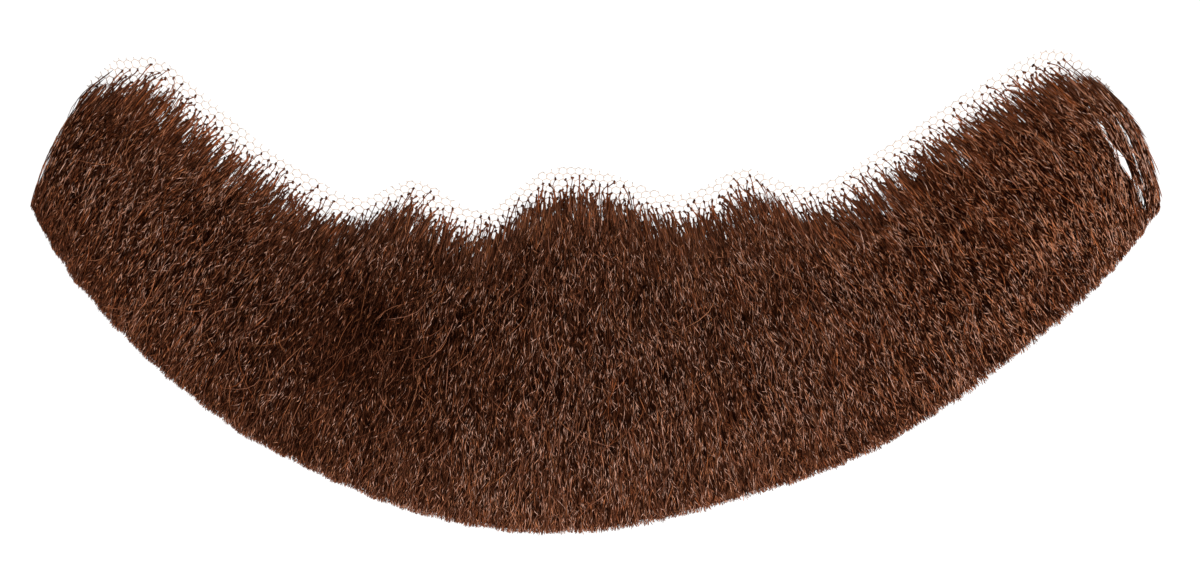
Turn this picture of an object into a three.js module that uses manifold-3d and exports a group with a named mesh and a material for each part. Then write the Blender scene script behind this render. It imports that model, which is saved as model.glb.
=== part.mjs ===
// A false beard: brown hair knotted onto a lace net, laid flat on its back.
// Millimetres. +X runs towards the right sideburn, +Y towards the mouth, +Z up off the table.
import * as THREE from "three";
import { mergeVertices } from "three/addons/utils/BufferGeometryUtils.js";
import Module from "manifold-3d";

const wasm = await Module();
wasm.setup();

// Driving dimensions of the lace
const laceThickness = 1;
const laceReach = 0.52; // how far down a section the lace goes under the hair
const laceInset = 0.02; // how far in from the sideburns the hidden lace stops
const gapPitch = 4.6; // from one opening of the net to the next
const gapWidth = 3.8; // across the flats of an opening
const edgeWeb = 0.7; // cord left between an opening and the cut edge
const netDepth = 7.6; // the openings lie within this distance of the cut edge

// Driving dimensions of the hair
const knotMargin = 3.2; // bare lace between its cut edge and the first knots
const seatGap = 0.3; // between the lace and the hair that lies on it
const backingStart = 0.08; // above this share of a section the hair is separate tufts
const backingSteps = 8; // bends of the backing from there to the trimmed edge
const dropStep = 4; // past this bend the hair comes down off the lace onto the table
const backingShare = 0.8; // height of the closed backing, as a share of the pile
const rootShare = 0.1; // height of the pile at the knots, as a share of the whole
const trimShare = 0.38; // height of the pile at the trimmed edge
const crestAt = 0.58; // share of a section at which the pile is highest

// One row for each section, from the left sideburn round the chin to the right one.
// edge is where the lace is cut, tip where the hair is trimmed, bow how far the hair swings
// to the right half way along, and pile how high it stands off the lace.
const sections = [
  { name: "left_end", edgeX: -124.4, edgeY: 61, tipX: -146.5, tipY: 22.4, bow: -2.8, pile: 7 },
  { name: "left_sideburn", edgeX: -113.4, edgeY: 60.5, tipX: -141.8, tipY: 13.4, bow: -2.6, pile: 9 },
  { name: "left_cheek_top", edgeX: -101.5, edgeY: 51.5, tipX: -135.2, tipY: 3.4, bow: -2.2, pile: 10 },
  { name: "left_cheek", edgeX: -88.5, edgeY: 40.1, tipX: -124, tipY: -9.4, bow: -1.8, pile: 11 },
  { name: "left_cheek_low", edgeX: -75.5, edgeY: 31.3, tipX: -111, tipY: -22, bow: -1.4, pile: 12.5 },
  { name: "left_mouth_dip", edgeX: -61.6, edgeY: 24.5, tipX: -93.2, tipY: -35.6, bow: -1.1, pile: 14 },
  { name: "left_mouth_peak", edgeX: -46.6, edgeY: 29.2, tipX: -75, tipY: -45.4, bow: -0.8, pile: 15 },
  { name: "left_lip_dip", edgeX: -29.4, edgeY: 21.2, tipX: -50.4, tipY: -56, bow: -0.4, pile: 15.5 },
  { name: "left_lip_peak", edgeX: -13.6, edgeY: 31.4, tipX: -22, tipY: -62, bow: -0.2, pile: 16 },
  { name: "right_lip_peak", edgeX: 0.6, edgeY: 31.8, tipX: 6, tipY: -61.2, bow: 0.2, pile: 16 },
  { name: "right_lip_dip", edgeX: 21.6, edgeY: 25.3, tipX: 41.5, tipY: -52.4, bow: 0.4, pile: 15.5 },
  { name: "right_mouth_peak", edgeX: 38.4, edgeY: 32.2, tipX: 67.6, tipY: -43, bow: 0.8, pile: 15 },
  { name: "right_mouth_dip", edgeX: 54.7, edgeY: 27.4, tipX: 86.4, tipY: -32.6, bow: 1.2, pile: 14 },
  { name: "right_cheek_low", edgeX: 71.4, edgeY: 35.3, tipX: 109.1, tipY: -16.2, bow: 1.8, pile: 12.5 },
  { name: "right_cheek", edgeX: 89.6, edgeY: 47.5, tipX: 127.2, tipY: -1, bow: 2.6, pile: 11 },
  { name: "right_cheek_top", edgeX: 105.2, edgeY: 57.1, tipX: 138.3, tipY: 11, bow: 3.6, pile: 10 },
  { name: "right_sideburn", edgeX: 116.9, edgeY: 63, tipX: 143.7, tipY: 18.4, bow: 4.4, pile: 9 },
  { name: "right_end", edgeX: 124.1, edgeY: 62, tipX: 146.5, tipY: 22.4, bow: 4.6, pile: 7 },
];

// Where the cut edge of the lace ends, outside the hair of each sideburn
const leftEar = new THREE.Vector3(-132, 54.6, 0);
const rightEar = new THREE.Vector3(133.8, 53.6, 0);

// One row for each row of locks. rootAt and tipAt are shares of a section, reach is how
// unevenly the tips end, rootWide and tipWide are shares of the lock's full width, and crown
// is how high its middle stands, as a share of the pile.
const lockRows = [
  { name: "roots", count: 44, rootAt: 0, tipAt: 0.3, reach: 0.03, rootWide: 0.2, tipWide: 0.8, crown: 0.9 },
  { name: "upper", count: 20, rootAt: 0.24, tipAt: 0.52, reach: 0.03, rootWide: 0.6, tipWide: 0.5, crown: 1 },
  { name: "middle", count: 20, rootAt: 0.46, tipAt: 0.76, reach: 0.03, rootWide: 0.6, tipWide: 0.5, crown: 1 },
  { name: "trim", count: 26, rootAt: 0.68, tipAt: 1.006, reach: 0.004, rootWide: 0.6, tipWide: 1, crown: 0.95 },
];
const lockBends = 3; // stretches along a lock
const lockWidth = 0.94; // of the spacing between two locks
const lockDepth = 0.4; // height of a lock's underside in the backing, as a share of the pile
const lockEdge = 0.72; // height of a lock's two edges, just under the top of the backing

// Curves through the columns of the table
const through = (x, y) =>
  new THREE.CatmullRomCurve3(sections.map((row) => new THREE.Vector3(row[x], row[y], 0)));
const edgeCurve = through("edgeX", "edgeY");
const tipCurve = through("tipX", "tipY");
const formCurve = through("bow", "pile");
const middleCurve = new THREE.CatmullRomCurve3(
  sections.map((row) => new THREE.Vector3(row.edgeX + row.tipX, row.edgeY + row.tipY, 0)),
);

// A point of the beard in plan: u runs from the left end to the right, t from knots to tips
function place(u, t) {
  const edge = edgeCurve.getPoint(u);
  const tip = tipCurve.getPoint(u);
  const down = tip.clone().sub(edge).normalize();
  const root = edge.addScaledVector(down, knotMargin);
  const sideways = new THREE.Vector3(-down.y, down.x, 0);
  const bow = formCurve.getPoint(u).x * 4 * t * (1 - t);
  return root.lerp(tip, t).addScaledVector(sideways, bow);
}

// Height of the pile over the lace: it rises from the knots to a crest and falls to the trim
function pileAt(u, t) {
  const rise = rootShare + (1 - rootShare) * Math.sin((Math.PI / 2) * Math.min(t / crestAt, 1));
  const past = Math.max(0, t - crestAt) / (1 - crestAt);
  return formCurve.getPoint(u).y * (rise - (1 - trimShare) * past * past);
}

const over = (u, t, share) => place(u, t).setZ(laceThickness + seatGap + pileAt(u, t) * share);

// A solid made from a block by moving its corners: across and down run from 0 to 1, and up is
// 0 on the underside and 1 on the top
function bent(acrossSteps, downSteps, rule) {
  const block = new THREE.BoxGeometry(1, 1, 1, acrossSteps, downSteps, 1);
  block.deleteAttribute("normal");
  block.deleteAttribute("uv");
  const { attributes, index } = mergeVertices(block);
  const { position } = attributes;
  for (let i = 0; i < position.count; i++) {
    const moved = rule(position.getX(i) + 0.5, 0.5 - position.getY(i), position.getZ(i) + 0.5);
    position.setXYZ(i, moved.x, moved.y, moved.z);
  }
  const vertProperties = new Float32Array(position.array);
  const triVerts = new Uint32Array(index.array);
  return new wasm.Manifold(new wasm.Mesh({ numProp: 3, vertProperties, triVerts }));
}

// The closed body of hair under the locks, which lies on the lace and past it on the table
function backing() {
  return bent(32, backingSteps, (across, down, up) => {
    const u = middleCurve.getUtoTmapping(across);
    const t = THREE.MathUtils.lerp(backingStart, 1, down);
    if (up) return over(u, t, backingShare);
    return down * backingSteps > dropStep + 0.5 ? place(u, t) : over(u, t, 0);
  });
}

// One lock: a crowned strip that swells out of the backing and narrows towards its tip
function lock(row, index) {
  const wander = Math.sin(index * 2.4); // an uneven but repeatable spread
  const tipAt = row.tipAt + row.reach * wander;
  const middle = (index + 0.5 + 0.02 * wander) / row.count;
  return bent(2, lockBends, (across, down, up) => {
    const t = THREE.MathUtils.lerp(row.rootAt, tipAt, down);
    const endWidth = down < 0.5 ? row.rootWide : row.tipWide;
    const width = THREE.MathUtils.lerp(1, endWidth, Math.abs(2 * down - 1)) * lockWidth;
    const u = middleCurve.getUtoTmapping(middle + ((across - 0.5) * width) / row.count);
    if (!up) return over(u, t, t < backingStart ? 0 : lockDepth);
    return over(u, t, across === 0.5 ? row.crown : lockEdge);
  });
}

function hair() {
  const locks = lockRows.flatMap((row) => Array.from({ length: row.count }, (_, i) => lock(row, i)));
  const { vertProperties, triVerts } = locks
    .reduce((whole, one) => whole.add(one), backing())
    .getMesh();
  const geometry = new THREE.BufferGeometry();
  geometry.setAttribute("position", new THREE.BufferAttribute(vertProperties, 3));
  geometry.setIndex(new THREE.BufferAttribute(triVerts, 1));
  geometry.computeVertexNormals();
  const brown = new THREE.MeshStandardMaterial({ color: 0x46291d, roughness: 0.6, metalness: 0 });
  const mesh = new THREE.Mesh(geometry, brown);
  mesh.name = "hair";
  return mesh;
}

// Distance from a point to a line of points, and whether an outline holds it
function distanceTo(point, line) {
  const nearest = new THREE.Vector3();
  const segment = new THREE.Line3();
  return Math.min(
    ...line.slice(1).map((end, i) => {
      segment.set(line[i], end).closestPointToPoint(point, true, nearest);
      return nearest.distanceTo(point);
    }),
  );
}

function holds(outline, point) {
  let odd = false;
  outline.forEach((a, i) => {
    const b = outline[(i + 1) % outline.length];
    const crosses = a.y > point.y !== b.y > point.y;
    if (crosses && point.x < a.x + ((b.x - a.x) * (point.y - a.y)) / (b.y - a.y)) odd = !odd;
  });
  return odd;
}

// The net: a cut sheet whose bare margin is pierced by a honeycomb of openings
function laceNet() {
  const edgePoints = new THREE.CatmullRomCurve3([
    leftEar,
    ...sections.map((row) => new THREE.Vector3(row.edgeX, row.edgeY, 0)),
    rightEar,
  ]).getPoints(76);
  const hidden = Array.from({ length: 31 }, (_, i) =>
    place(THREE.MathUtils.lerp(1 - laceInset, laceInset, i / 30), laceReach),
  );
  const outline = [...edgePoints, ...hidden];
  const shape = new THREE.Shape(outline.map((p) => new THREE.Vector2(p.x, p.y)));

  const rowPitch = (gapPitch * Math.sqrt(3)) / 2;
  const corner = gapWidth / Math.sqrt(3);
  const rows = Math.ceil(leftEar.y / rowPitch) + 4;
  const columns = Math.ceil(rightEar.x / gapPitch);
  for (let row = 0; row < rows; row++)
    for (let column = -columns; column <= columns; column++) {
      const x = (column + (row % 2 ? 0.5 : 0)) * gapPitch;
      const centre = new THREE.Vector3(x, row * rowPitch, 0);
      if (!holds(outline, centre)) continue;
      if (distanceTo(centre, [...outline, outline[0]]) < corner + edgeWeb) continue;
      if (distanceTo(centre, edgePoints) > netDepth) continue;
      const gap = new THREE.Path();
      for (let side = 0; side < 6; side++) {
        const turn = (side + 0.5) * (Math.PI / 3);
        const [px, py] = [centre.x + corner * Math.cos(turn), centre.y + corner * Math.sin(turn)];
        if (side) gap.lineTo(px, py);
        else gap.moveTo(px, py);
      }
      gap.closePath();
      shape.holes.push(gap);
    }
  const geometry = new THREE.ExtrudeGeometry(shape, { depth: laceThickness, bevelEnabled: false });
  const beige = new THREE.MeshStandardMaterial({ color: 0xf0d9cc, roughness: 0.8, metalness: 0 });
  const mesh = new THREE.Mesh(geometry, beige);
  mesh.name = "lace_net";
  return mesh;
}

// The origin is the middle of the beard's footprint, on the table
const beard = new THREE.Group();
beard.add(laceNet(), hair());
const middle = new THREE.Box3().setFromObject(beard).getCenter(new THREE.Vector3());
beard.position.set(-middle.x, -middle.y, 0);

export default beard;
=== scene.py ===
import bpy
import numpy as np
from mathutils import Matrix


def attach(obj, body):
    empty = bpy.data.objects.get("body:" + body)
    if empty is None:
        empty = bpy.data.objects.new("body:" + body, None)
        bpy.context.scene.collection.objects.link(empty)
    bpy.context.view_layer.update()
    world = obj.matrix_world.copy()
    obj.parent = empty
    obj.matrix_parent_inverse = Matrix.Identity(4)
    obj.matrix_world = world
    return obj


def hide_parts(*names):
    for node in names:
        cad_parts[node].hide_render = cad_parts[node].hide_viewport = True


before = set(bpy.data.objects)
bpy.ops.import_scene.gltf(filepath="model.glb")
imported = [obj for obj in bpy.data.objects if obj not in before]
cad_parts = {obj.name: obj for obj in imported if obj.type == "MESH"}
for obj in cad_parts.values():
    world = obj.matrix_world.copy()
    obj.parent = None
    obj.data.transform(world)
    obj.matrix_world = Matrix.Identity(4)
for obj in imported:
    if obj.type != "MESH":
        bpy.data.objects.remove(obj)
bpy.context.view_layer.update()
scene = bpy.context.scene
rng = np.random.default_rng(7)
mm = 0.001

# One row for each section of the beard, from the left sideburn round the chin to the right one.
# Columns in mm: cut edge of the lace x and y, trimmed tips x and y, sideways bow, height of the pile.
sections = np.array([
    (-124.4, 61.0, -146.5, 22.4, -2.8, 7),
    (-113.4, 60.5, -141.8, 13.4, -2.6, 9),
    (-101.5, 51.5, -135.2, 3.4, -2.2, 10),
    (-88.5, 40.1, -124.0, -9.4, -1.8, 11),
    (-75.5, 31.3, -111.0, -22.0, -1.4, 12.5),
    (-61.6, 24.5, -93.2, -35.6, -1.1, 14),
    (-46.6, 29.2, -75.0, -45.4, -0.8, 15),
    (-29.4, 21.2, -50.4, -56.0, -0.4, 15.5),
    (-13.6, 31.4, -22.0, -62.0, -0.2, 16),
    (0.6, 31.8, 6.0, -61.2, 0.2, 16),
    (21.6, 25.3, 41.5, -52.4, 0.4, 15.5),
    (38.4, 32.2, 67.6, -43.0, 0.8, 15),
    (54.7, 27.4, 86.4, -32.6, 1.2, 14),
    (71.4, 35.3, 109.1, -16.2, 1.8, 12.5),
    (89.6, 47.5, 127.2, -1.0, 2.6, 11),
    (105.2, 57.1, 138.3, 11.0, 3.6, 10),
    (116.9, 63.0, 143.7, 18.4, 4.4, 9),
    (124.1, 62.0, 146.5, 22.4, 4.6, 7),
])
form = {"knotMargin": 3.2, "seat": 0.5, "rootShare": 0.04, "trimShare": 0.38, "crestAt": 0.58}


def sectionAt(u):  # smooth curve through the rows
    at = np.clip(u, 0, 1) * (len(sections) - 1)
    i = np.minimum(at.astype(int), len(sections) - 2)
    w = (at - i)[..., None]
    rows = np.vstack([2 * sections[0] - sections[1], sections, 2 * sections[-1] - sections[-2]])
    a, b, c, d = (rows[i + k] for k in range(4))
    return b + 0.5 * w * (c - a + w * (2 * a - 5 * b + 4 * c - d + w * (3 * (b - c) + d - a)))


def place(u, t):  # plan of the hair: u from the left end to the right, t from knots to tips
    row = sectionAt(u)
    edge, tip = row[..., 0:2], row[..., 2:4]
    down = (tip - edge) / np.linalg.norm(tip - edge, axis=-1, keepdims=True)
    side = np.stack([-down[..., 1], down[..., 0]], -1)
    root = edge + down * form["knotMargin"]
    t = np.asarray(t)[..., None]
    return root + (tip - root) * t + side * row[..., 4:5] * 4 * t * (1 - t)


def reachAt(u):  # length of a section in mm
    row = sectionAt(u)
    return np.linalg.norm(row[..., 2:4] - row[..., 0:2], axis=-1) - form["knotMargin"]


def crownAt(u, t, share):  # height over the table at a share of the pile
    t = np.clip(t, 0, 1)
    climb = np.sin(np.pi / 2 * np.minimum(t / form["crestAt"], 1))
    past = np.maximum(0, t - form["crestAt"]) / (1 - form["crestAt"])
    rise = form["rootShare"] + (1 - form["rootShare"]) * climb - (1 - form["trimShare"]) * past ** 2
    return form["seat"] + sectionAt(u)[..., 5] * rise * share


def wave(xy, size, seed, sines=7):  # smooth uneven field, about -1 to 1, in patches of about that size
    pick = np.random.default_rng(seed)
    total = np.zeros(xy.shape[:-1])
    for _ in range(sines):
        turn, start, pace = pick.uniform(0, 2 * np.pi, 2).tolist() + [pick.uniform(0.6, 1.5)]
        across = xy[..., 0] * np.cos(turn) + xy[..., 1] * np.sin(turn)
        total += np.sin(pace * 2 * np.pi / size * across + start)
    return 2 * total / sines


def ease(x):
    x = np.clip(x, 0, 1)
    return x * x * (3 - 2 * x)


def unit(vectors):
    return vectors / np.linalg.norm(vectors, axis=-1, keepdims=True)


uLine = np.linspace(0, 1, 600)
bandLine = np.linalg.norm(np.gradient(place(uLine, 0.5 + 0 * uLine), axis=0), axis=1)
areaLine = np.cumsum(reachAt(uLine) * bandLine)
areaLine /= areaLine[-1]
rootLine = {"swing": 1.5, "patch": 9, "straggle": 1.5}


def scatter(count, start, high, rooted=1):  # places spread over the band, from so many mm past the knots
    u = np.interp(rng.random(count), areaLine, uLine)
    swing = rootLine["swing"] * wave(place(u, 0 * u), rootLine["patch"], seed=12)
    low = (start + swing + rng.exponential(rootLine["straggle"], count)) / reachAt(u)
    return u, low + (high - low) * rng.random(count) ** rooted


# step across the band, share of a hair where its bend turns back, share where its hook ends
combing = {"step": 0.004, "pivot": 0.6, "hookEnd": 0.18}


def comb(u, t, length, s, turn, bend, hook=0):  # paths along the lie of the hair, with joints at shares s
    step = combing["step"]
    nearU = np.clip(u, step, 1 - step)
    mmAcross = np.linalg.norm(place(nearU + step, t) - place(nearU - step, t), axis=-1) / (2 * step)
    drift = np.outer(np.tan(turn), s) + np.outer(bend, s * (s - combing["pivot"]))
    drift = drift + np.outer(hook / length, np.minimum(s / combing["hookEnd"], 1))
    pathU = np.clip(u[:, None] + drift * (length / mmAcross)[:, None], 0, 1)
    pathT = t[:, None] + np.outer(np.cos(turn) * length / reachAt(u), s)
    return place(pathU, pathT), pathU, pathT


def radii(look, count, s):  # thickness along each strand, uneven from strand to strand
    taper, power = look["taper"]
    return look["width"] / 2 * rng.uniform(*look["uneven"], (count, 1)) * (1 - taper * s ** power)


def tonesOf(look, count):
    return look["tone"] + look["vary"] * rng.normal(0, 1, count)


def calmAt(u, look):  # less swing towards the two ends of the band
    least, left, right = look["calm"]
    return least + (1 - least) * ease(np.minimum(u / left, (1 - u) / right))


def meshPiece(name, points, triangles, material, node=None, uv=None):
    mesh = bpy.data.meshes.new(name)
    mesh.vertices.add(len(points))
    mesh.vertices.foreach_set("co", (points * mm).astype(np.float32).ravel())
    mesh.loops.add(triangles.size)
    mesh.loops.foreach_set("vertex_index", triangles.astype(np.int32).ravel())
    mesh.polygons.add(len(triangles))
    mesh.polygons.foreach_set("loop_start", np.arange(0, triangles.size, 3, dtype=np.int32))
    mesh.update(calc_edges=True)
    mesh.polygons.foreach_set("use_smooth", np.ones(len(triangles), bool))
    if uv is not None:
        layer = mesh.uv_layers.new(name="OFBake")
        layer.data.foreach_set("uv", uv[triangles.ravel()].astype(np.float32).ravel())
    mesh.materials.append(material)
    piece = bpy.data.objects.new(name, mesh)
    scene.collection.objects.link(piece)
    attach(piece, "root")
    if node:
        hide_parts(node)
    print(name, len(triangles), "triangles")
    return piece


# lowest point in mm, margin of the map, tone from side to side of a strand, a direction no strand takes
strandForm = {"lowest": 0.02, "mapEdge": 0.01, "toneStep": 0.004, "upright": (0.02, 0.01, 1.0)}


# Three-sided strands, pointed at both ends, or closed prisms where the paths have only two joints
def strands(name, path, radius, material, node=None, tone=None, warm=0):
    count, joints = path.shape[:2]
    along = unit(np.gradient(path, axis=1))
    side = unit(np.cross(along, strandForm["upright"]))
    up = np.cross(along, side)
    roll = rng.uniform(0, 2 * np.pi, count)[:, None, None] + np.arange(3) * 2 * np.pi / 3
    ring = side[:, :, None] * np.cos(roll)[..., None] + up[:, :, None] * np.sin(roll)[..., None]
    rings = path[:, :, None] + ring * radius[:, :, None, None]
    faces = [(0, 2, 1), (3, 4, 5)]
    if joints > 2:
        rings = rings[:, 1:-1]
        root = 3 * (joints - 2)
        faces = [(root, (j + 1) % 3, j) for j in range(3)]
        faces += [(root - 3 + j, root - 3 + (j + 1) % 3, root + 1) for j in range(3)]
    for a in range(0, 3 * rings.shape[1] - 3, 3):
        for j, k in ((0, 1), (1, 2), (2, 0)):
            faces += [(a + j, a + k, a + k + 3), (a + j, a + k + 3, a + j + 3)]
    points = rings.reshape(count, -1, 3)
    if joints > 2:
        points = np.concatenate([points, path[:, :1], path[:, -1:]], 1)
    points[..., 2] = np.maximum(points[..., 2], strandForm["lowest"])
    triangles = np.array(faces)[None] + (np.arange(count) * points.shape[1])[:, None, None]
    uv = None
    if tone is not None:
        first, last = strandForm["mapEdge"], 1 - strandForm["mapEdge"]
        tone = np.clip(tone, first, last)[:, None]
        sides = strandForm["toneStep"] * np.arange(-1, 2)
        across = np.concatenate([tone + np.tile(sides, joints - 2), tone, tone], 1)
        down = np.concatenate([np.repeat(np.linspace(first, last, joints)[1:-1], 3), (first, last)])
        half = np.broadcast_to(warm, count)[:, None]  # upper half of the map for the warmer strands
        uv = np.stack([across, (down + half) / 2 + 0 * across], -1).reshape(-1, 2)
    return meshPiece(name, points.reshape(-1, 3), triangles.reshape(-1, 3), material, node, uv)


def newMaterial(name, look):
    material = bpy.data.materials.new(name)
    material.use_nodes = True
    nodes, links = material.node_tree.nodes, material.node_tree.links
    shader = nodes["Principled BSDF"]
    shader.inputs["Base Color"].default_value = (*look["colour"], 1)
    shader.inputs["Roughness"].default_value = look["roughness"]
    shader.inputs["Specular IOR Level"].default_value = look["shine"]
    return material, nodes, links, shader


def ramp(nodes, stops):  # the first two stops given are the two ends
    node = nodes.new("ShaderNodeValToRGB")
    for k, (at, colour) in enumerate(stops):
        stop = node.color_ramp.elements[k] if k < 2 else node.color_ramp.elements.new(at)
        stop.position = at
        stop.color = (*colour, 1)
    return node


def multiplied(nodes, links, one, other):
    node = nodes.new("ShaderNodeMix")
    node.data_type = "RGBA"
    node.blend_type = "MULTIPLY"
    node.clamp_result = True
    node.inputs["Factor"].default_value = 1
    links.new(one, node.inputs["A"])
    links.new(other, node.inputs["B"])
    return node.outputs["Result"]


# Strands: each one has its own tone across the map, dark at the root and brightest past the middle. The
# pale, less red stops at the bright end are painted highlights: strands whose tone reaches them show as
# glinting flecks.
strandLook = {
    "tones": [
        (0.0, (0.008, 0.0013, 0.0003)), (1.0, (0.66, 0.385, 0.29)), (0.2, (0.025, 0.0055, 0.0018)),
        (0.4, (0.068, 0.0195, 0.0077)), (0.55, (0.135, 0.043, 0.0205)), (0.68, (0.233, 0.084, 0.044)),
        (0.76, (0.32, 0.108, 0.042)), (0.84, (0.39, 0.17, 0.11)), (0.92, (0.55, 0.216, 0.095)),
    ],
    "along": [(0.0, 0.75), (0.35, 0.9), (0.65, 1.0), (0.99, 0.7)],
    "tints": [(1.0, 1.0, 1.0), (1.0, 0.8, 0.62)],  # plain and warmer strands
    # painted highlights: glints that brighten short stretches of each strand
    "glints": (110, 6, 1),  # how many across the tones and along both halves of the map
    "glintNoise": (0.3, 0.7),
    "glintRange": (0.5, 1.65),
    "colour": (0.1, 0.04, 0.025),
    "roughness": 0.5,
    "shine": 0.03,
}


def strandsMaterial(look):
    material, nodes, links, shader = newMaterial("strands", look)
    uvNode = nodes.new("ShaderNodeUVMap")
    uvNode.uv_map = "OFBake"
    split = nodes.new("ShaderNodeSeparateXYZ")
    links.new(uvNode.outputs["UV"], split.inputs["Vector"])
    tones = ramp(nodes, look["tones"])
    stops = [((at + k) / 2, tuple(share * c for c in tint))
             for k, tint in enumerate(look["tints"]) for at, share in look["along"]]
    tips = ramp(nodes, [stops[0], stops[-1]] + stops[1:-1])
    links.new(split.outputs["X"], tones.inputs["Fac"])
    links.new(split.outputs["Y"], tips.inputs["Fac"])
    plain = multiplied(nodes, links, tones.outputs["Color"], tips.outputs["Color"])
    # Painted highlights: noise along each strand brightens short stretches of its colour into glints
    spread = nodes.new("ShaderNodeVectorMath")
    spread.operation = "MULTIPLY"
    spread.inputs[1].default_value = look["glints"]
    links.new(uvNode.outputs["UV"], spread.inputs[0])
    glint = nodes.new("ShaderNodeTexNoise")
    glint.inputs["Scale"].default_value = 1
    glint.inputs["Detail"].default_value = 0
    links.new(spread.outputs["Vector"], glint.inputs["Vector"])
    bright = nodes.new("ShaderNodeMapRange")
    limits = (*look["glintNoise"], *look["glintRange"])
    for socket, value in zip(("From Min", "From Max", "To Min", "To Max"), limits):
        bright.inputs[socket].default_value = value
    links.new(glint.outputs["Fac"], bright.inputs["Value"])
    lit = multiplied(nodes, links, plain, bright.outputs["Result"])
    links.new(lit, shader.inputs["Base Color"])
    return material


def grainMaterial(name, look):  # a little uneven all over
    material, nodes, links, shader = newMaterial(name, look)
    place3d = nodes.new("ShaderNodeTexCoord")
    grain = nodes.new("ShaderNodeTexNoise")
    grain.inputs["Scale"].default_value = look["grain"]
    grain.inputs["Detail"].default_value = look["detail"]
    links.new(place3d.outputs["Object"], grain.inputs["Vector"])
    shades = ramp(nodes, look["shades"])
    links.new(grain.outputs["Fac"], shades.inputs["Fac"])
    links.new(shades.outputs["Color"], shader.inputs["Base Color"])
    return material


coatLook = {
    "colour": (0.02, 0.006, 0.0025), "roughness": 0.9, "shine": 0.02, "grain": 900, "detail": 3,
    "shades": [(0.35, (0.0165, 0.0041, 0.0015)), (0.7, (0.056, 0.0165, 0.0068))],
}
threadLook = {
    "colour": (0.98, 0.83, 0.73), "roughness": 0.8, "shine": 0.5, "grain": 300, "detail": 2,
    "shades": [(0.3, (0.97, 0.79, 0.67)), (0.7, (0.99, 0.86, 0.77))],
}
strandMaterial = strandsMaterial(strandLook)
coatMaterial = grainMaterial("undercoat", coatLook)
laceMaterial = grainMaterial("lace_thread", threadLook)
print("materials made")

# Lace: a hexagonal net of threads inside the cut outline
lace = {
    "pitch": 2.15, "squeeze": 0.84, "thread": 0.3, "height": 0.16, "slack": 0.3, "slackPatch": 26,
    "reach": 0.52, "inset": 0.02, "curve": 143, "middle": 28, "ears": [(-132.0, 54.6), (133.8, 53.6)],
    "edgePoints": 103, "hiddenPoints": 60, "columns": (-66, 67), "rows": (-50, 37), "shortest": 0.08,
}
edgeLine = sectionAt(np.linspace(0, 1, lace["edgePoints"]))[:, :2]
cutEdge = np.vstack([lace["ears"][0], edgeLine, lace["ears"][1]])
hiddenU = np.linspace(1 - lace["inset"], lace["inset"], lace["hiddenPoints"])
outline = np.vstack([cutEdge, place(hiddenU, lace["reach"] + 0 * hiddenU)])


def inside(xy):
    odd = np.zeros(len(xy), bool)
    for a, b in zip(outline, np.roll(outline, -1, axis=0)):
        if a[1] == b[1]:
            continue
        crosses = (a[1] > xy[:, 1]) != (b[1] > xy[:, 1])
        odd ^= crosses & (xy[:, 0] < a[0] + (b[0] - a[0]) * (xy[:, 1] - a[1]) / (b[1] - a[1]))
    return odd


def fromCut(xy):  # distance to the cut edge
    best = np.full(len(xy), np.inf)
    for a, b in zip(cutEdge[:-1], cutEdge[1:]):
        share = np.clip((xy - a) @ (b - a) / ((b - a) @ (b - a)), 0, 1)
        best = np.minimum(best, np.linalg.norm(xy - a - share[:, None] * (b - a), axis=1))
    return best


cellSide = lace["pitch"] / np.sqrt(3)
column, row = np.meshgrid(np.arange(*lace["columns"]), np.arange(*lace["rows"]))
cells = np.stack([(column + 0.5 * (row % 2)) * lace["pitch"], row * 1.5 * cellSide], -1).reshape(-1, 2)
corner = (lace["pitch"] / 2, 0.5 * cellSide)


def pulled(xy):  # rows of the net follow the curve of the jaw, a little unevenly
    angle, radius = xy[..., 0] / lace["curve"], lace["curve"] - lace["squeeze"] * xy[..., 1]
    lowest = lace["middle"] + lace["curve"]
    bent = np.stack([radius * np.sin(angle), lowest - radius * np.cos(angle)], -1)
    slack = [wave(bent, lace["slackPatch"], seed) for seed in (31, 32)]
    return bent + lace["slack"] * np.stack(slack, -1)


tops = cells + (0, cellSide)
others = [cells + corner, cells + (-corner[0], corner[1]), cells + (0, 2 * cellSide)]
ends = np.concatenate([np.stack([pulled(tops), pulled(other)], 1) for other in others])
hasStart, hasEnd = inside(ends[:, 0]), inside(ends[:, 1])
ends[hasEnd & ~hasStart] = ends[hasEnd & ~hasStart][:, ::-1]
cut = hasStart ^ hasEnd
low, high = np.zeros(cut.sum()), np.ones(cut.sum())
for _ in range(7):  # halve the stretch until it ends on the outline
    middle = (low + high) / 2
    within = inside(ends[cut, 0] + (ends[cut, 1] - ends[cut, 0]) * middle[:, None])
    low, high = np.where(within, middle, low), np.where(within, high, middle)
ends[cut, 1] = ends[cut, 0] + (ends[cut, 1] - ends[cut, 0]) * np.maximum(low, lace["shortest"])[:, None]
ends = ends[hasStart | hasEnd]
threads = np.concatenate([ends, np.full((len(ends), 2, 1), lace["height"])], 2)
strands("lace", threads, np.full((len(ends), 2), lace["thread"] / 2), laceMaterial, "lace_net")

# Slits that part the hair at the right end. Columns: mm inside its side where the slit starts and ends,
# shares of the hair's length where it starts and ends, widest in mm, share where it is widest.
slits = [
    (7.3, 5.0, 0.28, 1.04, 1.0, 0.66),
    (4.2, 3.6, 0.22, 0.9, 0.75, 0.57),
    (2.1, 1.7, 0.2, 0.62, 0.6, 0.38),
]
slitForm = {"strip": 0.06, "sway": 0.3, "swayPace": 9, "swayStart": 3, "open": 0.4, "swell": 0.9,
            "swellPace": 27, "taper": 0.6}


def perShare(t):  # mm for the whole of u, at the right end
    strip = slitForm["strip"]
    return np.linalg.norm(place(1 + 0 * t, t) - place(1 - strip + 0 * t, t), axis=-1) / strip


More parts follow.
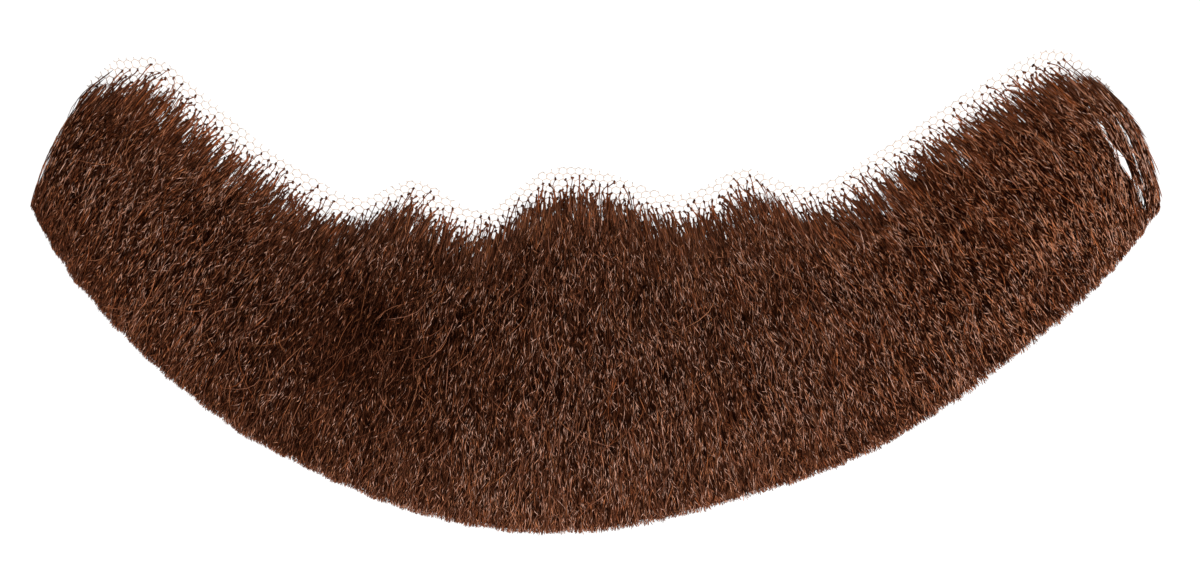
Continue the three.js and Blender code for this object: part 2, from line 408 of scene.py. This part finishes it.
def slitLine(row, t):  # mm inside the side where a slit runs, and half its width, broken by bridges
    first, last, start, end, widest, peak = row
    share = np.clip((t - start) / (end - start), 0, 1)
    sway = slitForm["sway"] * np.sin(slitForm["swayPace"] * t + slitForm["swayStart"] * first)
    broken = np.clip(slitForm["open"] + slitForm["swell"] * np.cos(slitForm["swellPace"] * (t - peak)), 0, 1)
    half = 0.5 * widest * np.sin(np.pi * share) ** slitForm["taper"] * broken
    return first + (last - first) * share + sway, half


def inSlit(u, t):
    inset = (1 - u) * perShare(t)
    lines = [slitLine(row, t) for row in slits]
    return np.any([np.abs(inset - middle) < half for middle, half in lines], axis=0)


trim = {"wave": 0.3, "waveSize": 7, "tuft": 0.42, "tuftSize": 2.2, "moreRight": 1.3}


def cutAt(u):  # the trimmed edge, uneven with small tufts that grow towards the right
    plan = place(u, 1 + 0 * u)
    tuft = trim["tuft"] + trim["moreRight"] * np.maximum(u - 0.5, 0)
    uneven = trim["wave"] * wave(plan, trim["waveSize"], seed=9)
    return 1 + (uneven + tuft * wave(plan, trim["tuftSize"], seed=10)) / reachAt(u)


# Undercoat: closed sheets a little inside the hair, one for the body and one for each lock at the right end
coat = {
    "across": 190, "lockAcross": 5, "down": 17, "share": 0.72, "start": 10.0, "ragged": 1.5,
    "startSway": 1.2, "startPatch": 14, "inside": 1.0, "left": 0.006, "right": 0.3, "gap": 0.2,
    "fade": 0.03, "lockFade": 0.3, "frontFade": 0.25, "edge": 0.15, "thin": 0.1,
    "onLace": 0.4, "drop": 0.3, "dropOver": 0.1, "swell": 0.35, "swellSize": 5,
}


def quads(p, q, r, s):
    return np.concatenate([np.stack([p, q, r], -1).reshape(-1, 3), np.stack([p, r, s], -1).reshape(-1, 3)])


def coatSheet(across, left, right, fade):
    a, b = np.meshgrid(np.linspace(0, 1, across), np.linspace(0, 1, coat["down"]), indexing="ij")
    u = left + (right - left) * a
    sway = coat["startSway"] * wave(place(u, 0 * u), coat["startPatch"], seed=3)
    startAt = (coat["start"] + sway + coat["ragged"] * rng.normal(0, 1, (across, 1))) / reachAt(u)
    endAt = cutAt(u) - coat["inside"] / reachAt(u)
    t = startAt + (endAt - startAt) * b
    plan = place(u, t)
    full = ease(b / coat["frontFade"]) * ease(a / fade) * ease((1 - a) / fade)
    low = coat["onLace"] - coat["drop"] * ease((t - lace["reach"]) / coat["dropOver"])
    tall = crownAt(u, t, coat["share"]) - low - coat["thin"]
    high = low + coat["thin"] + tall * (coat["edge"] + (1 - coat["edge"]) * full)
    high += coat["swell"] * full * wave(plan, coat["swellSize"], seed=4)
    index = np.arange(across * coat["down"]).reshape(across, coat["down"])
    under = index + index.size
    rim = np.concatenate([index[:-1, 0], index[-1, :-1], index[:0:-1, -1], index[0, :0:-1]])
    after = np.roll(rim, -1)
    faces = np.concatenate([
        quads(index[:-1, :-1], index[:-1, 1:], index[1:, 1:], index[1:, :-1]),
        quads(under[:-1, :-1], under[1:, :-1], under[1:, 1:], under[:-1, 1:]),
        quads(rim, after, after + index.size, rim + index.size),
    ])
    return np.concatenate([np.dstack([plan, z]).reshape(-1, 3) for z in (high, low)]), faces


lineT = np.linspace(coat["start"] / reachAt(np.ones(1))[0], 1, coat["down"])
sides = [slitLine(row, lineT) for row in slits] + [(coat["right"] + 0 * lineT, 0 * lineT)]
bodyRight = 1 - (sides[0][0] + sides[0][1] + coat["gap"]) / perShare(lineT)
sheets = [coatSheet(coat["across"], coat["left"], bodyRight, coat["fade"])]
for inner, outer in zip(sides[:-1], sides[1:]):
    left, right = inner[0] - inner[1] - coat["gap"], outer[0] + outer[1] + coat["gap"]
    left, right = 1 - left / perShare(lineT), 1 - right / perShare(lineT)
    sheets.append(coatSheet(coat["lockAcross"], left, right, coat["lockFade"]))
firsts = np.cumsum([0] + [len(points) for points, _ in sheets])
points = np.concatenate([points for points, _ in sheets])
faces = np.concatenate([faces + first for (_, faces), first in zip(sheets, firsts)])
meshPiece("undercoat", points, faces, coatMaterial, "hair")

# Painted shade and painted light over the beard. Columns: u and t of the middle, half width and half height,
# change of tone.
# The darker patches are painted shade in the partings between locks and in a darker band on the left cheek;
# the lighter ones are partly painted light and partly the hair's own lighter tone. The first row is the
# darkest area, where the strands also differ less.
shadeAndLightPatches = [
    (0.35, 0.52, 0.1, 0.25, -0.1), (0.588, 0.42, 0.025, 0.22, -0.07), (0.745, 0.45, 0.04, 0.24, -0.11),
    (0.65, 0.1, 0.07, 0.1, 0.08), (0.1, 0.85, 0.13, 0.3, 0.09), (0.96, 0.42, 0.06, 0.4, 0.16),
    (0.1, 0.2, 0.1, 0.2, 0.05), (0.81, 0.45, 0.09, 0.14, -0.12), (0.87, 0.95, 0.06, 0.2, 0.12),
    (0.5, 0.33, 0.25, 0.1, -0.05), (0.23, 0.92, 0.06, 0.2, 0.09),
]

# Warmer strands: the share of them everywhere, then more to the right and a few more to the left
warmth = {
    "share": 0.12, "right": 0.75, "rightAt": 0.82, "rightWide": 0.13, "tips": 0.45, "tipsAt": 0.95,
    "tipsOver": 0.35, "left": 0.22, "leftAt": 0.3, "leftOver": 0.1,
}


def isWarm(u, t):
    towardsRoots = ease((warmth["tipsAt"] - t) / warmth["tipsOver"])
    right = np.exp(-((u - warmth["rightAt"]) / warmth["rightWide"]) ** 2)
    right = right * (warmth["tips"] + (1 - warmth["tips"]) * towardsRoots)
    left = ease((warmth["leftAt"] - u) / warmth["leftOver"])
    return rng.random(len(u)) < warmth["share"] + warmth["right"] * right + warmth["left"] * left


# How much the strands differ in tone: where each change starts, over what share, and how much it is
contrast = {
    "darkest": 6.0, "lowAt": 0.65, "lowOver": 0.3, "low": 0.38, "left": 0.65, "leftOver": 0.28,
    "cornerT": 0.6, "cornerTOver": 0.25, "cornerU": 0.55, "cornerUOver": 0.15, "corner": 0.22,
    "roots": 0.5, "rootsOver": 0.4, "rest": 1.05, "rightAt": 0.6, "rightOver": 0.2, "right": 0.45,
    "patch": 0.15, "patchSize": 30,
}


def contrastAt(u, t, plan, darkest):
    c = contrast
    share = 1 + c["darkest"] * darkest - c["low"] * ease((t - c["lowAt"]) / c["lowOver"])
    share *= c["left"] + (1 - c["left"]) * ease(u / c["leftOver"])
    corner = ease((t - c["cornerT"]) / c["cornerTOver"]) * ease((c["cornerU"] - u) / c["cornerUOver"])
    share *= 1 - c["corner"] * corner
    share *= c["roots"] + (1 - c["roots"]) * ease(t / c["rootsOver"])
    share *= c["rest"] + c["right"] * ease((u - c["rightAt"]) / c["rightOver"])
    return share * (1 + c["patch"] * wave(plan, c["patchSize"], seed=18))


# Changes of tone over the whole beard, laid out the same way. The lighter chin is partly painted light on
# the lower slope of the pile, which faces the lamp, and partly the hair's lighter tips.
mottle = {
    "broad": 0.05, "broadSize": 24, "fine": 0.02, "fineSize": 6,
    "locks": 0.035, "locksSize": 9, "locksAcross": 330, "locksDown": 25,
    "roots": 0.09, "rootsAt": 0.3, "rootsOver": 0.25, "knotsAt": 0.24, "knotsOver": 0.2,
    "chin": 0.22, "chinU": 0.5, "chinWide": 0.17, "chinT": 0.5, "chinOver": 0.45,
    "sides": 0.04, "sidesU": 0.42, "sidesOver": 0.4, "sidesT": 1.1, "sidesTOver": 0.5,
}


def mottleAt(u, t, plan, rootTone):
    m = mottle
    change = m["broad"] * wave(plan, m["broadSize"], seed=6) + m["fine"] * wave(plan, m["fineSize"], seed=8)
    combed = np.stack([m["locksAcross"] * u, m["locksDown"] * t], -1)
    change += m["locks"] * wave(combed, m["locksSize"], seed=17)
    change += m["roots"] * ease((m["rootsAt"] - t) / m["rootsOver"])
    # painted light: rootTone lightens strands near the knots, where they lie in the shade of the strands
    # above
    change += rootTone * ease((m["knotsAt"] - t) / m["knotsOver"])
    # partly painted light: lighter over the chin towards the trimmed edge, where the pile slopes towards the
    # lamp
    chin = np.exp(-((u - m["chinU"]) / m["chinWide"]) ** 2) * ease((t - m["chinT"]) / m["chinOver"])
    away = ease(np.abs(u - m["sidesU"]) / m["sidesOver"]) * ease((m["sidesT"] - t) / m["sidesTOver"])
    return change + m["chin"] * chin + m["sides"] * away


# The four layers of hair on the undercoat, from the longest strands below to the short ends on top
lie = {
    "ragged": 0.25, "shortest": 1.2, "calm": (0.2, 0.06, 0.1), "mostTurn": 2.3, "swing": 0.1,
    "broadSwing": 18, "fineSwing": 5, "firstLift": 0.3, "fullLift": 16, "sunk": 0.5,
    "archStart": 0.12, "arch": 0.6, "uneven": (0.75, 1.25), "taper": (0.5, 2),
    "thickerAt": 0.65, "thickerOver": 0.2, "thicker": 0.25, "stray": 0.0015, "bridging": 0.04,
    "rooted": 1, "rootTone": 0,
}


def layer(name, own):
    look = {**lie, **own}
    count = look["count"]
    u, t = scatter(count, look["start"], look["high"], look["rooted"])
    plan = place(u, t)
    length = rng.uniform(*look["length"], count)
    room = (cutAt(u) - t) * reachAt(u) + rng.normal(0, look["ragged"], count)
    length = np.minimum(length, np.maximum(look["shortest"], room))
    calm = calmAt(u, look)
    turn = np.radians(look["spread"]) * np.clip(rng.normal(0, 1, count), -look["mostTurn"], look["mostTurn"])
    swing = wave(plan, look["broadSwing"], seed=5) + wave(plan, look["fineSwing"], seed=15)
    turn = (turn + look["swing"] * swing) * calm
    bend = look["bend"] * rng.normal(0, 1, count) * calm
    s = np.linspace(0, 1, look["joints"])
    path, pathU, pathT = comb(u, t, length, s, turn, bend)
    grown = ease(pathT * reachAt(u)[:, None] / look["fullLift"])
    lift = rng.uniform(*look["lift"], count)[:, None] * (look["firstLift"] + (1 - look["firstLift"]) * grown)
    arch = np.sin(np.pi * (look["archStart"] + look["arch"] * s))
    z = crownAt(pathU, pathT, coat["share"]) - look["sunk"] + (lift + look["sunk"]) * arch
    radius = radii(look, count, s)
    radius *= 1 + look["thicker"] * ease((u - look["thickerAt"]) / look["thickerOver"])[:, None]
    # painted shade and painted light from the patches, added to each strand's tone
    spots = [change * np.exp(-((u - x) / wide) ** 2 - ((t - y) / high) ** 2)
             for x, y, wide, high, change in shadeAndLightPatches]
    tone = look["tone"] + look["vary"] * contrastAt(u, t, plan, spots[0]) * rng.normal(0, 1, count)
    tone += mottleAt(u, t, plan, look["rootTone"]) + sum(spots)
    parted = inSlit(pathU + rng.normal(0, look["stray"], (count, 1)), pathT).any(1)
    clear = ~parted | (rng.random(count) < look["bridging"])
    warm = isWarm(u, t)[clear]
    return strands(name, np.dstack([path, z])[clear], radius[clear], strandMaterial,
                   tone=tone[clear], warm=warm)


lowLook = {
    "count": 6500, "start": 2.0, "high": 0.44, "rooted": 1.6,
    "length": (12, 20), "width": 0.28, "joints": 5, "spread": 6, "bend": 0.12,
    # rootTone is painted light: lighter roots where these strands lie in the shade of the others
    "lift": (0.2, 1.0), "tone": 0.5, "rootTone": 0.12, "vary": 0.12,
}
layer("hair_low", lowLook)

midLook = {
    "count": 14000, "start": 4.0, "high": 0.98,
    "length": (6, 12), "width": 0.21, "joints": 4, "spread": 7, "bend": 0.2,
    "lift": (0.5, 2.4), "tone": 0.42, "vary": 0.25,
}
layer("hair_mid", midLook)

topLook = {
    "count": 32000, "start": 6.0, "high": 0.99,
    "length": (2.2, 6.5), "width": 0.18, "joints": 3, "spread": 14, "bend": 0.25,
    "lift": (1.0, 2.4), "tone": 0.435, "vary": 0.55,
}
layer("hair_top", topLook)

endLook = {
    "count": 32500, "start": 11.0, "high": 0.99,
    "length": (1.4, 3.6), "width": 0.165, "joints": 3, "spread": 20, "bend": 0.3,
    "lift": (1.4, 2.8), "tone": 0.455, "vary": 0.64,
}
layer("hair_ends", endLook)


def outwardAt(pathT, side, inner):  # away from the hair at one end, seen from a little further in
    return unit(place(side + 0 * pathT, pathT) - place(inner + 0 * pathT, pathT))


# Parted locks: hairs at every height beside the slits of the right end, the outermost straying a little
lockLook = {
    "count": 640, "first": (0.1, 0.86), "length": (5, 13), "joints": 6, "short": 0.02,
    "deep": 8.0, "crowded": 1.4, "sway": 0.1, "swayPace": 11, "swayStart": 4, "inner": 0.97,
    "stray": 0.8, "mostStray": 2, "strayDeep": 1.2, "strayCurve": 1.5, "low": 0.3, "level": (0.1, 1.05),
    "width": 0.25, "uneven": (0.75, 1.25), "taper": (0.4, 2), "tone": 0.66, "vary": 0.14, "warmAt": 0.85,
}
count = lockLook["count"]
s = np.linspace(0, 1, lockLook["joints"])
firstT = rng.uniform(*lockLook["first"], (count, 1))
spanT = rng.uniform(*lockLook["length"], (count, 1)) / reachAt(np.ones(1))
room = cutAt(np.ones(1)) - lockLook["short"] * rng.random((count, 1)) - firstT
pathT = firstT + np.minimum(spanT, room) * s
inset = lockLook["deep"] * rng.random((count, 1)) ** lockLook["crowded"]
sway = lockLook["sway"] * np.sin(lockLook["swayPace"] * pathT + lockLook["swayStart"] * inset)
pathU = 1 - inset * (1 + sway) / perShare(pathT)
stray = lockLook["stray"] * np.minimum(rng.exponential(1, (count, 1)), lockLook["mostStray"])
stray = stray * ease((lockLook["strayDeep"] - inset) / lockLook["strayDeep"]) * s ** lockLook["strayCurve"]
path = place(pathU, pathT) + outwardAt(pathT, 1, lockLook["inner"]) * stray[..., None]
pile = crownAt(pathU, pathT, coat["share"]) - lockLook["low"]
z = lockLook["low"] + pile * rng.uniform(*lockLook["level"], (count, 1))
radius = radii(lockLook, count, s)
tone = tonesOf(lockLook, count)
clear = ~inSlit(pathU, pathT).any(1)
warm = isWarm(np.full(count, lockLook["warmAt"]), firstT[:, 0])
strands("parted_locks", np.dstack([path, z])[clear], radius[clear], strandMaterial,
        tone=tone[clear], warm=warm[clear])

# Left end: close hairs down its side, and a few wisps that bow out.
# Of two ranges, the first is for the wisps and the second for the others.
sideLook = {
    "count": 420, "wisps": 8, "joints": 8, "first": [(-0.02, 0.08), (0.12, 0.8)],
    "span": [(0.3, 0.45), (0.12, 0.3)], "level": [(0.3, 0.6), (0, 1)], "short": 0.02, "from": 0.006,
    "inner": 0.03, "bow": (1.0, 2.4), "bowCurve": 1.3, "offset": (-1.4, 0.2), "low": 0.3,
    "width": 0.25, "uneven": (0.8, 1.2), "taper": (0.4, 2), "tone": 0.57, "vary": 0.12,
}
count = sideLook["count"]
wisp = (np.arange(count) < sideLook["wisps"])[:, None]
s = np.linspace(0, 1, sideLook["joints"])


def either(ranges):
    return np.where(wisp, *[rng.uniform(*limits, (count, 1)) for limits in ranges])


firstT = either(sideLook["first"])
spanT = either(sideLook["span"])
room = cutAt(np.zeros(1)) - sideLook["short"] * rng.random((count, 1)) - firstT
pathT = firstT + np.minimum(spanT, room) * s
bow = rng.uniform(*sideLook["bow"], (count, 1)) * np.sin(np.pi * s) ** sideLook["bowCurve"]
offset = np.where(wisp, bow, rng.uniform(*sideLook["offset"], (count, 1)))
path = place(sideLook["from"] + 0 * pathT, pathT)
path = path + outwardAt(pathT, 0, sideLook["inner"]) * offset[..., None]
level = either(sideLook["level"])
z = sideLook["low"] + (crownAt(0 * pathT, pathT, coat["share"]) - sideLook["low"]) * level
radius = radii(sideLook, count, s)
tone = tonesOf(sideLook, count)
warm = isWarm(np.zeros(count), firstT[:, 0])
strands("left_end", np.dstack([path, z]), radius, strandMaterial, tone=tone, warm=warm)

# Knots on the crossings of the net, sparse at the hairline, with the hairs that leave them
knots = {
    "size": 0.4, "uneven": (0.8, 1.25), "long": 1.45, "thin": 0.75, "turn": 32, "height": 0.4,
    "tone": 0.5, "vary": 0.05, "nearest": 1.0, "sure": 3.2, "close": 6.0, "farthest": 10.0, "most": 0.92,
    "shift": 0.3, "onHair": 1.0, "gridU": 500, "gridT": (-0.08, 0.3, 40), "step": 0.02,
    "toneLimits": (0.02, 0.98), "mapMiddle": 0.25, "mapReach": 0.22,
}
crossings = pulled(np.concatenate([tops, others[0]]))
between = np.arange(len(crossings)) >= len(tops)
away = fromCut(crossings)
chance = knots["most"] * ease((away - knots["nearest"]) / (knots["sure"] - knots["nearest"]))
chance = np.where(between, ease((away - knots["sure"]) / (knots["close"] - knots["sure"])), chance)
kept = inside(crossings) & (rng.random(len(crossings)) < chance) & (away < knots["farthest"])
picked, away = crossings[kept], away[kept]
picked = picked + rng.normal(0, knots["shift"], picked.shape)
gridU, gridT = np.meshgrid(np.linspace(0, 1, knots["gridU"]), np.linspace(*knots["gridT"]), indexing="ij")
gridPlan = place(gridU, gridT).reshape(-1, 2)
nearest = np.array([np.argmin(((gridPlan - p) ** 2).sum(1)) for p in picked])
onHair = np.linalg.norm(gridPlan[nearest] - picked, axis=1) < knots["onHair"]
picked, nearest, away = picked[onHair], nearest[onHair], away[onHair]
pickedU, pickedT = gridU.ravel()[nearest], gridT.ravel()[nearest]

# A ball of twenty triangles: no two of its corners are nearer than an edge, or as near without one
golden = (1 + 5 ** 0.5) / 2
edgeLimit = 1.06
ball = np.array([(x, y * golden, 0) for x in (-1, 1) for y in (-1, 1)])
ball = np.concatenate([ball, np.roll(ball, 1, axis=1), np.roll(ball, 2, axis=1)]) / np.hypot(1, golden)
ballFaces = []
for i in range(12):
    for j in range(i + 1, 12):
        for k in range(j + 1, 12):
            corners = ball[[i, j, k]]
            if max(np.linalg.norm(corners - np.roll(corners, 1, axis=0), axis=1)) < edgeLimit:
                normal = np.cross(corners[1] - corners[0], corners[2] - corners[0])
                ballFaces.append((i, j, k) if np.dot(normal, corners[0]) > 0 else (i, k, j))
flow = place(pickedU, pickedT + knots["step"]) - place(pickedU, pickedT)
lean = (np.arctan2(flow[:, 1], flow[:, 0]) + np.radians(rng.normal(0, knots["turn"], len(picked))))[:, None]
size = knots["size"] * rng.uniform(*knots["uneven"], (len(picked), 1))
long, thin, deep = (ball[:, k] * size * knots[way] for k, way in enumerate(("long", "thin", "thin")))
across, along = long * np.cos(lean) - thin * np.sin(lean), long * np.sin(lean) + thin * np.cos(lean)
blobs = np.dstack([across, along, deep])
blobs += np.c_[picked, np.full(len(picked), knots["height"])][:, None]
faces = np.array(ballFaces)[None] + (np.arange(len(picked)) * len(ball))[:, None, None]
tone = np.clip(rng.normal(knots["tone"], knots["vary"], len(picked)), *knots["toneLimits"])
mapX = np.repeat(tone, len(ball)) + np.tile(ball[:, 0] * strandForm["toneStep"], len(picked))
mapY = knots["mapMiddle"] + knots["mapReach"] * np.tile(ball[:, 1], len(picked))
meshPiece("knots", blobs.reshape(-1, 3), faces.reshape(-1, 3), strandMaterial,
          uv=np.stack([mapX, mapY], -1))

rootLook = {
    "hairs": 3.8, "hairsOver": 3.4, "hairsVary": 0.4, "length": (5, 12),
    "joints": (0, 0.03, 0.18, 0.42, 0.72, 1), "spread": 6, "apart": 6, "swing": 0.15, "swingSize": 9,
    "calm": (0.2, 0.05, 0.05), "bend": 0.2, "hook": 0.55,
    "low": 0.45, "share": 0.8, "climb": 1.4, "level": (0.35, 1.0),
    "width": 0.36, "uneven": (0.7, 1.2), "taper": (0.5, 1), "tone": 0.73, "vary": 0.08, "warm": 0.5,
}
more = rootLook["hairs"] * ease((away - knots["sure"]) / rootLook["hairsOver"])
more = more + rng.uniform(-rootLook["hairsVary"], rootLook["hairsVary"], len(picked))
which = np.repeat(np.arange(len(picked)), 1 + np.round(more).astype(int))
u, t = pickedU[which], pickedT[which]
count = len(which)
calm = calmAt(u, rootLook)
turn = np.radians(rootLook["spread"]) * rng.normal(0, 1, len(picked))[which]
turn = turn + rootLook["swing"] * wave(picked[which], rootLook["swingSize"], seed=21)
turn = (turn + np.radians(rootLook["apart"]) * rng.normal(0, 1, count)) * calm
bend = rootLook["bend"] * rng.normal(0, 1, len(picked))[which] * calm
hook = rootLook["hook"] * rng.normal(0, 1, len(picked))[which] * calm
length = rng.uniform(*rootLook["length"], count)
s = np.array(rootLook["joints"])
path, pathU, pathT = comb(u, t, length, s, turn, bend, hook)
path += (picked[which] - place(u, t))[:, None]
level = rng.uniform(*rootLook["level"], (count, 1))
pile = crownAt(pathU, pathT, rootLook["share"]) - rootLook["low"]
z = rootLook["low"] + pile * ease(s * rootLook["climb"]) * level
radius = radii(rootLook, count, s)
tone = tonesOf(rootLook, count)
warm = rng.random(count) < rootLook["warm"]
strands("hairline", np.dstack([path, z]), radius, strandMaterial, tone=tone, warm=warm)

# Trimmed edge: short ends at every height, cut along one line
trimLook = {
    "count": 7000, "length": (3, 8), "joints": (0, 0.45, 0.96, 1), "spread": 11, "bend": 0.3, "ragged": 0.14,
    "calm": (0.3, 0.05, 0.05), "low": 0.2, "over": 0.06, "levelCurve": 0.8,
    "width": 0.22, "uneven": (0.75, 1.25), "taper": (0.15, 1), "tone": 0.63, "vary": 0.13,
}
count = trimLook["count"]
u = rng.random(count)
length = rng.uniform(*trimLook["length"], count)
tipAt = cutAt(u) + trimLook["ragged"] * rng.normal(0, 1, count) / reachAt(u)
turn = np.radians(trimLook["spread"]) * rng.normal(0, 1, count) * calmAt(u, trimLook)
bend = trimLook["bend"] * rng.normal(0, 1, count)
s = np.array(trimLook["joints"])
path, pathU, pathT = comb(u, tipAt - length / reachAt(u), length, s, turn, bend)
level = rng.random((count, 1)) ** trimLook["levelCurve"]
z = trimLook["low"] + (crownAt(pathU, pathT, coat["share"] + trimLook["over"]) - trimLook["low"]) * level
radius = radii(trimLook, count, s)
tone = tonesOf(trimLook, count)
clear = ~inSlit(pathU, pathT).any(1)
warm = isWarm(u, tipAt)
strands("trimmed_edge", np.dstack([path, z])[clear], radius[clear], strandMaterial,
        tone=tone[clear], warm=warm[clear])

# Loose hairs that cross the others, most of them over the chin
looseLook = {
    "count": 480, "start": 12, "high": 0.9, "gather": (0.5, 0.95),
    "length": (7, 18), "shortest": 4, "end": 0.99, "joints": 8,
    "spread": 15, "mostTurn": 2.5, "bend": 0.9, "mostBend": 1.8,
    "lift": (1.8, 3.4), "archStart": 0.15, "arch": 0.6,
    "width": 0.15, "uneven": (0.8, 1.2), "taper": (0.5, 2), "tone": 0.7, "vary": 0.1,
}
count = looseLook["count"]
u, t = scatter(count, looseLook["start"], looseLook["high"])
u = 0.5 + (u - 0.5) * rng.uniform(*looseLook["gather"], count)
room = np.maximum(looseLook["shortest"], (looseLook["end"] - t) * reachAt(u))
length = np.minimum(rng.uniform(*looseLook["length"], count), room)
most = looseLook["mostTurn"]
turn = np.radians(looseLook["spread"]) * np.clip(rng.normal(0, 1, count), -most, most)
most = looseLook["mostBend"]
bend = looseLook["bend"] * np.clip(rng.normal(0, 1, count), -most, most)
s = np.linspace(0, 1, looseLook["joints"])
path, pathU, pathT = comb(u, t, length, s, turn, bend)
arch = np.sin(np.pi * (looseLook["archStart"] + looseLook["arch"] * s))
z = crownAt(pathU, pathT, coat["share"]) + rng.uniform(*looseLook["lift"], (count, 1)) * arch
radius = radii(looseLook, count, s)
tone = tonesOf(looseLook, count)
strands("loose_hairs", np.dstack([path, z]), radius, strandMaterial, tone=tone, warm=isWarm(u, t))

# A table that glows evenly, soft light all round with one softbox, and a camera straight over the beard
studio = {
    "floor": 3.0, "colour": (0.1, 0.1, 0.1), "roughness": 0.9, "shine": 0.5, "glow": 1.0, "sky": 0.4,
    "keyPower": 24, "keySize": 0.6, "keyPlace": (0.45, -0.9, 1.2),
}
floorMesh = bpy.data.meshes.new("table")
half = studio["floor"] / 2
floorCorners = [(-half, -half, 0), (half, -half, 0), (half, half, 0), (-half, half, 0)]
floorMesh.from_pydata(floorCorners, [], [(0, 1, 2, 3)])
floor = bpy.data.objects.new("table", floorMesh)
scene.collection.objects.link(floor)
floorMaterial, nodes, links, shader = newMaterial("light_table", studio)
shader.inputs["Emission Color"].default_value = (1, 1, 1, 1)
shader.inputs["Emission Strength"].default_value = studio["glow"]
floorMesh.materials.append(floorMaterial)

world = bpy.data.worlds.new("studio")
world.use_nodes = True
world.node_tree.nodes["Background"].inputs["Color"].default_value = (1, 1, 1, 1)
world.node_tree.nodes["Background"].inputs["Strength"].default_value = studio["sky"]
scene.world = world

keyLight = bpy.data.lights.new("key", "AREA")
keyLight.size = studio["keySize"]
keyLight.energy = studio["keyPower"]
key = bpy.data.objects.new("key", keyLight)
key.location = studio["keyPlace"]
key.rotation_euler = (-key.location.normalized()).to_track_quat("-Z", "Y").to_euler()
key.visible_camera = False
scene.collection.objects.link(key)

lens = {"height": 1.6, "wide": 0.312, "middle": (0.0012, 0.0022), "sensor": 36}
camera = bpy.data.cameras.new("camera")
camera.sensor_width = lens["sensor"]
camera.lens = lens["sensor"] * lens["height"] / lens["wide"]
cameraObject = bpy.data.objects.new("camera", camera)
cameraObject.location = (*lens["middle"], lens["height"])
scene.collection.objects.link(cameraObject)
scene.camera = cameraObject
scene.view_settings.view_transform = "Standard"
print("studio set")
